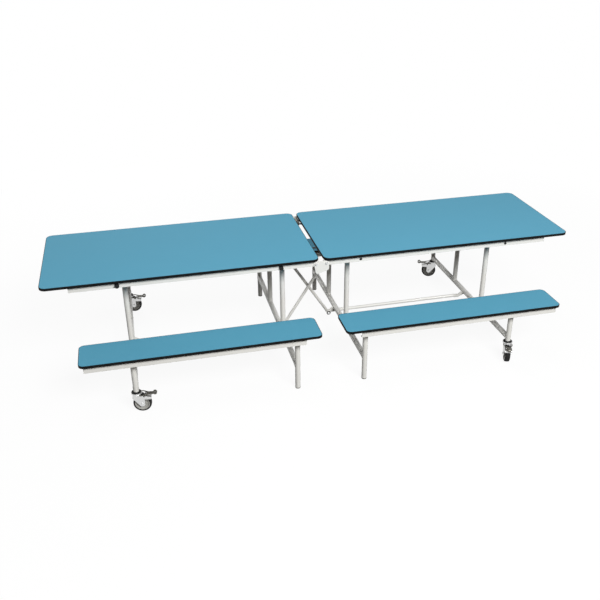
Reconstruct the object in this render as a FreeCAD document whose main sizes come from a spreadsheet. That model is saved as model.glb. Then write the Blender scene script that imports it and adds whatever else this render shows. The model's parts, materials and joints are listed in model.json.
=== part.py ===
import FreeCAD, Part
import math
import os

import Sketcher
from FreeCAD import Placement, Rotation, Vector

# Mobile folding cafeteria table with four benches, in millimetres.
#
# Frame: origin on the floor at the centre of the table, +X along the table, +Z up.
# The table is two equal halves.  Each half is modelled outwards from the centre line along +X
# ("right"), and the left half is the same half turned by 180 degrees about Z.
#
# A half is a parallelogram: its top, its benches and its tie bar all turn by the same angle between
# the inner leg frame (glides on the floor) and the outer leg frame (casters), so that the frames stay
# upright while the centre rises.  A centre bracket joins the two tops and crossed links brace them.

doc = FreeCAD.newDocument("FoldingTable")
sheet = doc.addObject("Spreadsheet::Sheet", "Size")

SIZES = {
    # table top
    "table_length": 3050,
    "table_width": 735,
    "table_height": 685,
    "centre_gap": 28,
    "top_thickness": 15,
    "top_corner": 38,
    "edge_band": 3,
    # bench seats
    "seat_height": 365,
    "seat_start": 68,
    "seat_end": 1363,
    "seat_inner": 444,
    "seat_width": 216,
    "seat_thickness": 15,
    "seat_corner": 30,
    # channel rails under the tops and the seats
    "rail_wall": 2,
    "rail_height": 33,
    "rail_flange": 20,
    "rail_inset": 18,
    "rail_start": 18,
    "rail_end": 1380,
    "seat_rail_height": 37,
    "seat_rail_inset": 15,
    "seat_rail_start": 157,
    "seat_rail_end": 1340,
    # welded leg frames
    "inner_frame": 197,
    "outer_frame": 1092,
    "leg_spread": 585,
    "upright_spread": 200,
    "frame_tube": 30,
    "frame_wall": 1.6,
    "cross_tube": 32,
    "cross_height": 145,
    "pivot_offset": 35,
    "pivot_drop": 33,
    "seat_pivot_drop": 37.5,
    "bend_radius": 60,
    "bend_angle": 50,
    "knuckle": 25,
    "knuckle_length": 40,
    "shaft": 20,
    "seat_shaft": 16,
    "spigot": 10,
    "bore_clearance": 0.3,
    "cap_reach": 17,
    "cap_wall": 3,
    # tie bars and crossed links
    "tie_reach": 48,
    "tie_drop": 31,
    "tie_tube": 20,
    "link_side": 29,
    "link_bar": 18,
    "link_drop": 78,
    "bracket_foot": 22,
    "bracket_sheet": 3,
    "eye_pin": 8,
    "eye_rim": 6,
    "eye_thickness": 10,
    "neck_overlap": 1,
    "foot_bolt_end": 3,
    "side_gap": 0.5,
    "ear_thickness": 4,
    "fold_angle": 72,
    # centre bracket
    "centre_pivot": 30,
    "centre_plate": 4,
    "centre_rim": 14,
    "centre_tip": 20,
    "centre_tip_drop": 49,
    "centre_heel": 31,
    "centre_heel_drop": 32,
    "centre_beam_drop": 40,
    "centre_tube": 25,
    "centre_bolt": 10,
    "bolt_head": 17,
    "bolt_head_height": 6,
    "buffer": 10,
    "buffer_flange": 2,
    "buffer_side": 190,
    # feet and casters
    "glide_height": 7,
    "glide_plug": 30,
    "caster_height": 126,
    "wheel": 100,
    "wheel_width": 30,
    "wheel_core": 80,
    "trail": 27,
    "axle": 8,
    "axle_head": 13,
    "axle_head_height": 4,
    "tread_bevel": 5,
    "hub": 24,
    "wheel_web": 6,
    "wheel_rim": 6,
    "core_relief": 2,
    "fork_rim": 15,
    "fork_lead": 23,
    "fork_wall": 3,
    "fork_gap": 3,
    "hood_rim": 6,
    "hood_overlap": 1,
    "hood_reach": 79,
    "hood_low": 80,
    "hood_fall": 5.5,
    "crown": 56,
    "crown_height": 9,
    "collar": 51,
    "collar_height": 6,
    "stem_length": 40,
    "pedal_reach": 110,
    "pedal_bar": 4.5,
    "pedal_shoulder": 34,
    "pedal_window": 56,
    "pedal_neck": 64,
    "pedal_stem": 24,
    "pedal_thickness": 4,
    "pedal_hinge": 18,
    "pedal_pin": 5,
    "pedal_pin_end": 1.5,
    "pedal_barrel": 8,
    "toe_ring": 22,
    "toe_hole": 11,
    "toe_width": 15,
    "toe_rise": 5,
    "swivel_gap": 0.3,
}

for row, (alias, number) in enumerate(SIZES.items(), start=1):
    sheet.set("A%d" % row, alias)
    sheet.set("B%d" % row, str(number))
    sheet.setAlias("B%d" % row, alias)
doc.recompute()

# Sizes that follow from the driving ones, as expressions.
TOP_UNDERSIDE = "(Size.table_height - Size.top_thickness)"
SEAT_UNDERSIDE = "(Size.seat_height - Size.seat_thickness)"
PIVOT_HEIGHT = "(Size.table_height - Size.pivot_drop)"
SEAT_PIVOT_HEIGHT = "(Size.seat_height - Size.seat_pivot_drop)"
RAIL_FACE = "(Size.table_width / 2 - Size.rail_inset)"
SEAT_OUTER = "(Size.seat_inner + Size.seat_width)"
SEAT_RAIL_FACE = "(%s - Size.seat_rail_inset)" % SEAT_OUTER
SEAT_RAIL_BACK = "(Size.seat_inner + Size.seat_rail_inset)"
TIE_HEIGHT = "(Size.cross_height - Size.tie_drop)"
LINK_HEIGHT = "(Size.table_height - Size.link_drop)"
EYE_RADIUS = "(Size.eye_pin / 2 + Size.eye_rim)"
EAR_INNER = "(Size.link_side + Size.link_bar / 2 + Size.side_gap)"
EAR_OUTER = "(%s + Size.ear_thickness)" % EAR_INNER
PLATE_INNER = "(%s + Size.side_gap)" % RAIL_FACE
PLATE_OUTER = "(%s + Size.centre_plate)" % PLATE_INNER
CROWN_TOP = "(Size.caster_height - Size.collar_height - Size.swivel_gap)"
CROWN_UNDERSIDE = "(%s - Size.crown_height)" % CROWN_TOP
PEDAL_HEIGHT = "(%s - Size.pedal_barrel / 2 - Size.side_gap)" % CROWN_UNDERSIDE
FORK_INNER = "(Size.wheel_width / 2 + Size.fork_gap)"
FORK_OUTER = "(%s + Size.fork_wall)" % FORK_INNER
PEDAL_INNER = "(%s + Size.side_gap)" % FORK_OUTER
PEDAL_OUTER = "(%s + Size.pedal_bar)" % PEDAL_INNER
BEND_RUN = ("((Size.pivot_offset - Size.bend_radius * (1 - cos(Size.bend_angle)))"
            " / sin(Size.bend_angle))")
BEND_RISE = "(Size.bend_radius * sin(Size.bend_angle) + %s * cos(Size.bend_angle))" % BEND_RUN

UP = Vector(0, 0, 1)
ALONG = {
    "x": Rotation(Vector(0, 1, 0), 90),
    "y": Rotation(Vector(1, 0, 0), -90),
    "z": Rotation(),
}
SIDES = {"right": Placement(), "left": Placement(Vector(), Rotation(UP, 180))}
INNER, OUTER = "Size.inner_frame", "Size.outer_frame"

pieces = []


def value(expression):
    """The number that an expression has now, in millimetres or degrees."""
    return float(sheet.evalExpression(expression))


def keep(piece, label, place=Placement()):
    """Name a finished sub-part, put it in its place and list it for export."""
    doc.recompute()
    piece.Label = label
    piece.Placement = place
    pieces.append(piece)
    return piece


def bind_base(piece, corner):
    for axis, expression in zip("xyz", corner):
        piece.setExpression("Placement.Base." + axis, expression)


def box(size, corner):
    """A block of the given size with its lowest corner at the given point."""
    block = doc.addObject("Part::Box", "Block")
    for side, expression in zip(("Length", "Width", "Height"), size):
        block.setExpression(side, expression)
    bind_base(block, corner)
    return block


def rod(radius, length, start, axis):
    """A round bar from a start point along x, y or z."""
    bar = doc.addObject("Part::Cylinder", "Rod")
    bar.setExpression("Radius", radius)
    bar.setExpression("Height", length)
    bar.Placement = Placement(Vector(), ALONG[axis])
    bind_base(bar, start)
    return bar


def fuse(parts):
    joined = doc.addObject("Part::MultiFuse", "Join")
    joined.Shapes = parts
    joined.Refine = True
    return joined


def cut(base, tools):
    result = doc.addObject("Part::Cut", "Cut")
    result.Base = base
    result.Tool = tools[0] if len(tools) == 1 else fuse(tools)
    return result


def group(parts):
    """Equal, separate solids that make one sub-part."""
    together = doc.addObject("Part::Compound", "Group")
    together.Links = parts
    return together


def pin_point(sketch, index, end, point):
    """Hold one end of a sketch line at a point given as two expressions."""
    for kind, expression in zip(("DistanceX", "DistanceY"), point):
        held = sketch.addConstraint(
            Sketcher.Constraint(kind, -1, 1, index, end, value(expression)))
        sketch.setExpression("Constraints[%d]" % held, expression)


def polygon(sketch, points):
    """A closed outline of straight lines through points given as expressions."""
    first = sketch.GeometryCount
    corners = [Vector(value(across), value(up), 0) for across, up in points]
    for start, end in zip(corners, corners[1:] + corners[:1]):
        sketch.addGeometry(Part.LineSegment(start, end))
    for step, point in enumerate(points):
        follower = first + (step + 1) % len(points)
        sketch.addConstraint(Sketcher.Constraint("Coincident", first + step, 2, follower, 1))
        pin_point(sketch, first + step, 1, point)


def rounded_rectangle(sketch, low, high, radius):
    """A rectangle from its low to its high corner, with round corners tangent to its sides."""
    first = sketch.GeometryCount
    left, bottom = (value(expression) for expression in low)
    right, top = (value(expression) for expression in high)
    round_by = value(radius)
    centres = [Vector(right - round_by, bottom + round_by, 0), Vector(right - round_by, top - round_by, 0),
               Vector(left + round_by, top - round_by, 0), Vector(left + round_by, bottom + round_by, 0)]
    for quarter, centre in enumerate(centres):
        turn = math.radians(90 * quarter - 90)
        whole = Part.Circle(centre, UP, round_by)
        arc = Part.ArcOfCircle(whole, turn, turn + math.pi / 2)
        sketch.addGeometry(arc)
        following = centres[(quarter + 1) % 4]
        outward = Vector(math.cos(turn + math.pi / 2), math.sin(turn + math.pi / 2), 0) * round_by
        sketch.addGeometry(Part.LineSegment(centre + outward, following + outward))
    for quarter in range(4):
        arc, side = first + 2 * quarter, first + 2 * quarter + 1
        following = first + (2 * quarter + 2) % 8
        sketch.addConstraint(Sketcher.Constraint("Tangent", arc, 2, side, 1))
        sketch.addConstraint(Sketcher.Constraint("Tangent", side, 2, following, 1))
        sketch.addConstraint(Sketcher.Constraint("Vertical" if quarter % 2 == 0 else "Horizontal", side))
        if quarter:
            sketch.addConstraint(Sketcher.Constraint("Equal", first, arc))
    held = sketch.addConstraint(Sketcher.Constraint("Radius", first, round_by))
    sketch.setExpression("Constraints[%d]" % held, radius)
    for index, kind, expression in ((first + 1, "DistanceX", high[0]), (first + 3, "DistanceY", high[1]),
                                    (first + 5, "DistanceX", low[0]), (first + 7, "DistanceY", low[1])):
        held = sketch.addConstraint(Sketcher.Constraint(kind, -1, 1, index, 1, value(expression)))
        sketch.setExpression("Constraints[%d]" % held, expression)


def new_body(name):
    return doc.addObject("PartDesign::Body", name)


def body_sketch(body, plane, name, offset="0"):
    """A sketch on one of the body's own origin planes, moved along the plane's normal."""
    sketch = body.newObject("Sketcher::SketchObject", name)
    support = [feature for feature in body.Origin.OriginFeatures if feature.Role == plane]
    sketch.AttachmentSupport = [(support[0], "")]
    sketch.MapMode = "FlatFace"
    sketch.setExpression("AttachmentOffset.Base.z", offset)
    return sketch


def pad(body, sketch, length, name="Pad"):
    feature = body.newObject("PartDesign::Pad", name)
    feature.Profile = sketch
    feature.setExpression("Length", length)
    return feature


# ---------------------------------------------------------------- table tops and seats

def board_and_band(body_name, low, high, corner, underside, thickness, place):
    """A laminate board with a band round its edge: two bodies that meet face to face."""
    inset_low = ["%s + Size.edge_band" % side for side in low]
    inset_high = ["%s - Size.edge_band" % side for side in high]
    inset_corner = corner + " - Size.edge_band"
    board = new_body(body_name + "_board")
    outline = body_sketch(board, "XY_Plane", "BoardOutline", underside)
    rounded_rectangle(outline, inset_low, inset_high, inset_corner)
    pad(board, outline, thickness)
    band = new_body(body_name + "_band")
    outline = body_sketch(band, "XY_Plane", "BandOutline", underside)
    rounded_rectangle(outline, low, high, corner)
    rounded_rectangle(outline, inset_low, inset_high, inset_corner)
    pad(band, outline, thickness)
    keep(board, body_name + "_panel", place)
    keep(band, body_name + "_edge", place)


def channel(start, end, face, underside, height, inward):
    """A rail of C section under a board: its web stands at the face, its flanges point inwards."""
    sketch = doc.addObject("Sketcher::SketchObject", "ChannelProfile")
    sketch.Placement = Placement(Vector(value(start), 0, 0), Rotation(Vector(1, 1, 1), 120))
    sketch.setExpression("Placement.Base.x", start)
    web = "%s + %d * Size.rail_wall" % (face, inward)
    lip = "%s + %d * Size.rail_flange" % (face, inward)
    low = "%s - %s" % (underside, height)
    polygon(sketch, [
        (face, underside), (lip, underside), (lip, underside + " - Size.rail_wall"),
        (web, underside + " - Size.rail_wall"), (web, low + " + Size.rail_wall"),
        (lip, low + " + Size.rail_wall"), (lip, low), (face, low)])
    rail = doc.addObject("Part::Extrusion", "Channel")
    rail.Base = sketch
    rail.DirMode = "Normal"
    rail.setExpression("LengthFwd", "%s - (%s)" % (end, start))
    rail.Solid = True
    return rail


def web_bore(radius, x, face, height, inward):
    """A cutter through a rail's web, along Y, with room on both sides."""
    start = "%s - %s" % (face, "Size.rail_flange" if inward < 0 else "Size.rail_wall")
    return rod(radius, "Size.rail_flange + Size.rail_wall", (x, start, height), "y")


def frame_pivot(frame):
    return "(%s + Size.pivot_offset)" % frame


def top_rails(side):
    """The two cream rails along a top.  Shaft, spigot and centre bolt each have a bore."""
    rails = []
    for sign in (1, -1):
        face = "(%d * %s)" % (sign, RAIL_FACE)
        rail = channel("Size.rail_start", "Size.rail_end", face, TOP_UNDERSIDE, "Size.rail_height", -sign)
        # the shaft leaves through the web on one side and ends in a spigot on the other
        through = "Size.shaft / 2" if sign > 0 else "Size.spigot / 2"
        bores = [web_bore(through + " + Size.bore_clearance", frame_pivot(frame), face, PIVOT_HEIGHT, -sign)
                 for frame in (INNER, OUTER)]
        bores.append(web_bore("Size.centre_bolt / 2 + Size.bore_clearance", "Size.centre_pivot", face,
                              PIVOT_HEIGHT, -sign))
        rails.append(cut(rail, bores))
    keep(group(rails), "top_rails_" + side, SIDES[side])


def seat_rails(name, sign, side):
    """The two rails under a seat, with a bore for each leg's bench shaft."""
    rails = []
    for face, inward in ((SEAT_RAIL_FACE, -1), (SEAT_RAIL_BACK, 1)):
        face = "(%d * %s)" % (sign, face)
        rail = channel("Size.seat_rail_start", "Size.seat_rail_end", face, SEAT_UNDERSIDE,
                       "Size.seat_rail_height", sign * inward)
        bores = [web_bore("Size.seat_shaft / 2 + Size.bore_clearance", frame_pivot(frame), face,
                          SEAT_PIVOT_HEIGHT, sign * inward) for frame in (INNER, OUTER)]
        rails.append(cut(rail, bores))
    keep(group(rails), name, SIDES[side])


# ---------------------------------------------------------------- welded leg frames

def bent_tube(radius, at, across, low, pivot, last_run=True):
    """A tube that stands at the frame and bends outboard near its top, to end at a pivot."""
    bend_low = "(%s - %s)" % (pivot, BEND_RISE)
    straight = rod(radius, "%s - (%s)" % (bend_low, low), (at, across, low), "z")
    elbow = doc.addObject("Part::Torus", "Elbow")
    elbow.setExpression("Radius1", "Size.bend_radius")
    elbow.setExpression("Radius2", radius)
    elbow.setExpression("Angle3", "Size.bend_angle")
    elbow.Placement = Placement(Vector(), Rotation(Vector(-1, 0, 0), Vector(0, 0, 1), Vector(0, 1, 0), "ZXY"))
    bind_base(elbow, (at + " + Size.bend_radius", across, bend_low))
    parts = [straight, elbow]
    if last_run:
        leaning = doc.addObject("Part::Cylinder", "LeaningRun")
        leaning.setExpression("Radius", radius)
        leaning.setExpression("Height", BEND_RUN)
        leaning.Placement = Placement(Vector(), Rotation(Vector(0, 1, 0), value("Size.bend_angle")))
        leaning.setExpression("Placement.Rotation.Angle", "Size.bend_angle * 1 deg")
        bind_base(leaning, ("%s + Size.bend_radius * (1 - cos(Size.bend_angle))" % at, across,
                            "%s + Size.bend_radius * sin(Size.bend_angle)" % bend_low))
        parts.append(leaning)
    return parts


def rounded_plate(corners, rim, across_end, thickness):
    """A plate in the XZ plane: the outline stays one rim outside its corner points, so every corner
    is an arc about a pivot.  The plate is as thick as stated and ends at across_end along Y."""
    sketch = doc.addObject("Sketcher::SketchObject", "PlateCorners")
    sketch.Placement = Placement(Vector(), Rotation(Vector(1, 0, 0), 90))
    sketch.setExpression("Placement.Base.y", across_end)
    polygon(sketch, corners)
    outline = doc.addObject("Part::Offset2D", "PlateOutline")
    outline.Source = sketch
    outline.setExpression("Value", rim)
    plate = doc.addObject("Part::Extrusion", "Plate")
    plate.Base = outline
    plate.DirMode = "Custom"
    plate.Dir = Vector(0, -1, 0)
    plate.setExpression("LengthFwd", thickness)
    plate.Solid = True
    return plate


def tie_ear(at):
    """The flat ear that reaches from the cross tube down to the tie bar's pin."""
    corners = [(at + " - Size.tie_reach", TIE_HEIGHT),
               (at, "Size.cross_height - Size.frame_tube / 4"),
               (at, "Size.cross_height + Size.frame_tube / 8")]
    return rounded_plate(corners, EYE_RADIUS, EAR_OUTER, "Size.ear_thickness")


def leg_frame(name, at, foot, side):
    """Two legs, two uprights, the cross tube and the pivot shafts, welded into one piece."""
    tube = "Size.frame_tube / 2"
    bore = "(Size.frame_tube / 2 - Size.frame_wall)"
    pivot_x = frame_pivot(at)
    outside = [rod("Size.cross_tube / 2", "2 * Size.leg_spread",
                   (at, "-Size.leg_spread", "Size.cross_height"), "y")]
    inside = [rod("Size.cross_tube / 2 - Size.frame_wall", "2 * Size.leg_spread - Size.frame_tube",
                  (at, "-Size.leg_spread + Size.frame_tube / 2", "Size.cross_height"), "y")]
    shaft_start = "(2 * Size.rail_wall - %s)" % RAIL_FACE
    shaft_end = "(%s + Size.cap_reach - Size.cap_wall)" % RAIL_FACE
    shafts = [rod("Size.shaft / 2", "%s - %s" % (shaft_end, shaft_start),
                  (pivot_x, shaft_start, PIVOT_HEIGHT), "y"),
              rod("Size.spigot / 2", "%s + %s" % (PLATE_INNER, shaft_start),
                  (pivot_x, "-" + PLATE_INNER, PIVOT_HEIGHT), "y")]
    for sign in (1, -1):
        upright = "(%d * Size.upright_spread)" % sign
        leg = "(%d * Size.leg_spread)" % sign
        outside += bent_tube(tube, at, upright, "Size.cross_height", PIVOT_HEIGHT)
        outside += bent_tube(tube, at, leg, foot, SEAT_PIVOT_HEIGHT)
        inside += bent_tube(bore, at, upright, "Size.cross_height", PIVOT_HEIGHT, last_run=False)
        inside += bent_tube(bore, at, leg, foot, SEAT_PIVOT_HEIGHT, last_run=False)
        for across, height in ((upright, PIVOT_HEIGHT), (leg, SEAT_PIVOT_HEIGHT)):
            shafts.append(rod("Size.knuckle / 2", "Size.knuckle_length",
                              (pivot_x, across + " - Size.knuckle_length / 2", height), "y"))
        start = SEAT_RAIL_BACK if sign > 0 else "-%s" % SEAT_RAIL_FACE
        shafts.append(rod("Size.seat_shaft / 2", "%s - %s" % (SEAT_RAIL_FACE, SEAT_RAIL_BACK),
                          (pivot_x, start, SEAT_PIVOT_HEIGHT), "y"))
    pin = rod("Size.eye_pin / 2", "Size.ear_thickness + Size.side_gap + Size.eye_thickness + Size.side_gap",
              (at + " - Size.tie_reach", EAR_INNER, TIE_HEIGHT), "y")
    tubes = cut(fuse(outside), [fuse(inside)])
    keep(fuse([tubes, tie_ear(at), pin] + shafts), name, SIDES[side])


def shaft_caps(name, at, side):
    """Black plastic caps: a deep one over the shaft's long end, a button on its spigot."""
    pivot_x = frame_pivot(at)
    deep = rod("Size.shaft / 2 + Size.cap_wall", "Size.cap_reach - Size.side_gap",
               (pivot_x, PLATE_INNER, PIVOT_HEIGHT), "y")
    socket = rod("Size.shaft / 2", "Size.cap_reach - Size.side_gap - Size.cap_wall",
                 (pivot_x, PLATE_INNER, PIVOT_HEIGHT), "y")
    button = rod("Size.spigot / 2 + Size.cap_wall", "Size.cap_wall",
                 (pivot_x, "-%s - Size.cap_wall" % PLATE_INNER, PIVOT_HEIGHT), "y")
    keep(group([cut(deep, [socket]), button]), name, SIDES[side])


def glides(side):
    """Plastic feet pressed into the inner legs."""
    feet = []
    plug = "(Size.frame_tube / 2 - Size.frame_wall)"
    for sign in (1, -1):
        foot = (INNER, "%d * Size.leg_spread" % sign, "0")
        feet.append(fuse([rod("Size.frame_tube / 2", "Size.glide_height", foot, "z"),
                          rod(plug, "Size.glide_plug", foot, "z")]))
    keep(group(feet), "glides_" + side, SIDES[side])


# ---------------------------------------------------------------- tie bars and crossed links

def flattened_end(pivot, across, bore=True, direction=1):
    """The flat end of a round bar about a pivot on the X axis: a round eye and its neck."""
    neck = "(2 * %s)" % EYE_RADIUS
    start = pivot if direction > 0 else "%s - %s" % (pivot, neck)
    eye = rod(EYE_RADIUS, "Size.eye_thickness", (pivot, across, "0"), "y")
    flat = box((neck, "Size.eye_thickness", "2 * " + EYE_RADIUS), (start, across, "-" + EYE_RADIUS))
    end = fuse([eye, flat])
    if not bore:
        return end
    return cut(end, [rod("Size.eye_pin / 2 + Size.bore_clearance", "Size.eye_thickness",
                         (pivot, across, "0"), "y")])


def round_bar(diameter, length, across):
    """The hollow middle of a bar along X, between its flattened ends."""
    neck = "(2 * %s - Size.neck_overlap)" % EYE_RADIUS
    start = (neck, across, "0")
    tube = rod(diameter + " / 2", "%s - 2 * %s" % (length, neck), start, "x")
    return cut(tube, [rod("%s / 2 - Size.frame_wall" % diameter, "%s - 2 * %s" % (length, neck), start, "x")])


def tie_bar(side):
    """The bar that keeps the feet of the inner and outer frames one top's length apart."""
    length = "(Size.outer_frame - Size.inner_frame)"
    across = "(%s + Size.side_gap)" % EAR_OUTER
    middle = "(%s + Size.tie_tube / 2)" % across
    bar = fuse([round_bar("Size.tie_tube", length, middle),
                flattened_end("0", across),
                flattened_end(length, across, direction=-1)])
    base = Vector(value(INNER) - value("Size.tie_reach"), 0, value(TIE_HEIGHT))
    keep(bar, "tie_bar_" + side, SIDES[side] * Placement(base, Rotation()))


def link_bracket_offset():
    """How far outboard of its centre pivot a link hangs, so that the link has one length both
    with the table open and with it folded by the full angle."""
    fold = math.radians(value("Size.fold_angle"))
    half_span = value(INNER) + value("Size.pivot_offset") - value("Size.centre_pivot")
    reach = 2 * value("Size.centre_pivot") - value("Size.pivot_offset") - value("Size.tie_reach")
    height = value(PIVOT_HEIGHT) - value(TIE_HEIGHT)
    drop = value(PIVOT_HEIGHT) - value(LINK_HEIGHT)
    folded_reach = reach - drop * math.sin(fold)
    folded_height = height - drop * math.cos(fold) + 2 * half_span * math.sin(fold)
    span = (folded_height ** 2 - (height - drop) ** 2 - reach ** 2 + folded_reach ** 2) / 2
    span /= reach - folded_reach * math.cos(fold) + folded_height * math.sin(fold)
    return span - half_span


def link_ends():
    """A link's bracket pivot under its own half and its foot at the other half's inner frame."""
    top = Vector(value("Size.centre_pivot") + link_bracket_offset(), 0, value(LINK_HEIGHT))
    foot = Vector(value("Size.tie_reach") - value(INNER), 0, value(TIE_HEIGHT))
    return top, foot


def cross_link(name, side):
    """A round link: a bored eye at the bracket, and at the foot an eye that carries its own bolt."""
    top, foot = link_ends()
    length = "%.6f" % top.distanceToPoint(foot)
    across = "(-Size.link_side - Size.eye_thickness / 2)"
    bolt = rod("Size.eye_pin / 2", "(Size.link_bar + Size.eye_thickness) / 2 + Size.foot_bolt_end",
               (length, "-Size.link_side - Size.link_bar / 2", "0"), "y")
    link = fuse([round_bar("Size.link_bar", length, "-Size.link_side"),
                 flattened_end("0", across),
                 flattened_end(length, across, bore=False, direction=-1), bolt])
    slope = math.degrees(math.atan2(top.z - foot.z, foot.x - top.x))
    keep(link, name, SIDES[side] * Placement(top, Rotation(Vector(0, 1, 0), slope)))


def link_bracket(side):
    """A folded steel bracket under the top: a screwed sole, two cheeks and the link's pin."""
    top, foot = link_ends()
    pivot = "%.6f" % top.x
    inside = "(Size.link_bar / 2 + Size.side_gap)"
    sheet_gauge = "Size.bracket_sheet"
    shoulder = "(%s - %s)" % (TOP_UNDERSIDE, EYE_RADIUS)
    corners = [(pivot, LINK_HEIGHT), (pivot + " + Size.bracket_foot", shoulder),
               (pivot + " - Size.bracket_foot", shoulder)]
    outer_cheek = "(%s + %s)" % (inside, sheet_gauge)
    cheeks = [rounded_plate(corners, EYE_RADIUS, "-Size.link_side + " + outer_cheek, sheet_gauge),
              rounded_plate(corners, EYE_RADIUS, "-Size.link_side - " + inside, sheet_gauge)]
    sole = box(("2 * Size.bracket_foot", "2 * (%s + Size.bracket_foot)" % outer_cheek, sheet_gauge),
               (pivot + " - Size.bracket_foot", "-Size.link_side - %s - Size.bracket_foot" % outer_cheek,
                "%s - %s" % (TOP_UNDERSIDE, sheet_gauge)))
    pin = rod("Size.eye_pin / 2", "2 * %s + 2 * Size.ear_thickness" % outer_cheek,
              (pivot, "-Size.link_side - %s - Size.ear_thickness" % outer_cheek, LINK_HEIGHT), "y")
    keep(fuse(cheeks + [sole, pin]), "link_bracket_" + side, SIDES[side])


# ---------------------------------------------------------------- centre bracket

def centre_plate(name, sign):
    """The shield-shaped plate that joins the two tops' rails on one side of the table.  Its tip is
    off the middle, and the half-turn of the table puts the rear plate's tip on the other side."""
    corners = [("%d * Size.centre_pivot" % sign, PIVOT_HEIGHT),
               ("%d * Size.centre_pivot" % -sign, PIVOT_HEIGHT),
               ("%d * Size.centre_heel" % -sign, PIVOT_HEIGHT + " - Size.centre_heel_drop"),
               ("%d * Size.centre_tip" % sign, PIVOT_HEIGHT + " - Size.centre_tip_drop")]
    plate = rounded_plate(corners[::-sign], "Size.centre_rim", PLATE_OUTER if sign > 0 else "-" + PLATE_INNER,
                          "Size.centre_plate")
    start = PLATE_INNER if sign > 0 else "-" + PLATE_OUTER
    bores = [rod("Size.centre_bolt / 2", "Size.centre_plate",
                 ("%d * Size.centre_pivot" % at, start, PIVOT_HEIGHT), "y") for at in (1, -1)]
    keep(cut(plate, bores), name)


def hexagon(across_corners, height, base):
    """A hexagonal head or nut along Y."""
    prism = doc.addObject("Part::Prism", "Hexagon")
    prism.Polygon = 6
    prism.setExpression("Circumradius", across_corners + " / 2")
    prism.setExpression("Height", height)
    prism.Placement = Placement(Vector(), ALONG["y"])
    bind_base(prism, base)
    return prism


def centre_bolts():
    """Four shouldered bolts: head outside the plate, nut inside the rail."""
    bolts = []
    nut_face = "(%s - Size.rail_wall - Size.side_gap)" % RAIL_FACE
    for across in (1, -1):
        for along in (1, -1):
            middle = "%d * Size.centre_pivot" % along
            nut = "(%s - Size.bolt_head_height)" % nut_face
            head = PLATE_OUTER
            if across < 0:
                nut = "-" + nut_face
                head = "(-%s - Size.bolt_head_height)" % PLATE_OUTER
            shank = nut_face if across > 0 else "-" + PLATE_OUTER
            bolts.append(fuse([
                hexagon("Size.bolt_head", "Size.bolt_head_height", (middle, nut, PIVOT_HEIGHT)),
                rod("Size.centre_bolt / 2", "%s - %s" % (PLATE_OUTER, nut_face),
                    (middle, shank, PIVOT_HEIGHT), "y"),
                hexagon("Size.bolt_head", "Size.bolt_head_height", (middle, head, PIVOT_HEIGHT))]))
    keep(group(bolts), "centre_bolts")


def centre_beam():
    """The round tube that holds the two centre plates square to each other."""
    start = ("0", "-" + PLATE_INNER, "%s - Size.centre_beam_drop" % PIVOT_HEIGHT)
    span = "2 * " + PLATE_INNER
    keep(cut(rod("Size.centre_tube / 2", span, start, "y"),
             [rod("Size.centre_tube / 2 - Size.frame_wall", span, start, "y")]), "centre_beam")


def buffer_stop(side):
    """A rubber stop on one top's inner edge, which spans the gap to the other top."""
    middle = "(Size.table_height - Size.top_thickness / 2)"
    stop = rod("Size.buffer / 2", "Size.centre_gap - 2 * Size.side_gap",
               ("2 * Size.side_gap - Size.centre_gap / 2", "Size.buffer_side", middle), "x")
    foot = rod("Size.buffer / 2 + Size.buffer_flange", "Size.rail_wall",
               ("Size.centre_gap / 2 - Size.rail_wall", "Size.buffer_side", middle), "x")
    keep(fuse([stop, foot]), "buffer_" + side, SIDES[side])


# ---------------------------------------------------------------- casters

def caster_stems(side):
    """The plug in each outer leg with the fixed collar that the fork swivels under."""
    stems = []
    for sign in (1, -1):
        at = (OUTER, "%d * Size.leg_spread" % sign)
        collar = rod("Size.collar / 2", "Size.collar_height",
                     at + ("Size.caster_height - Size.collar_height",), "z")
        plug = rod("Size.frame_tube / 2 - Size.frame_wall", "Size.stem_length",
                   at + ("Size.caster_height",), "z")
        stems.append(fuse([collar, plug]))
    keep(group(stems), "caster_stems_" + side, SIDES[side])


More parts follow.
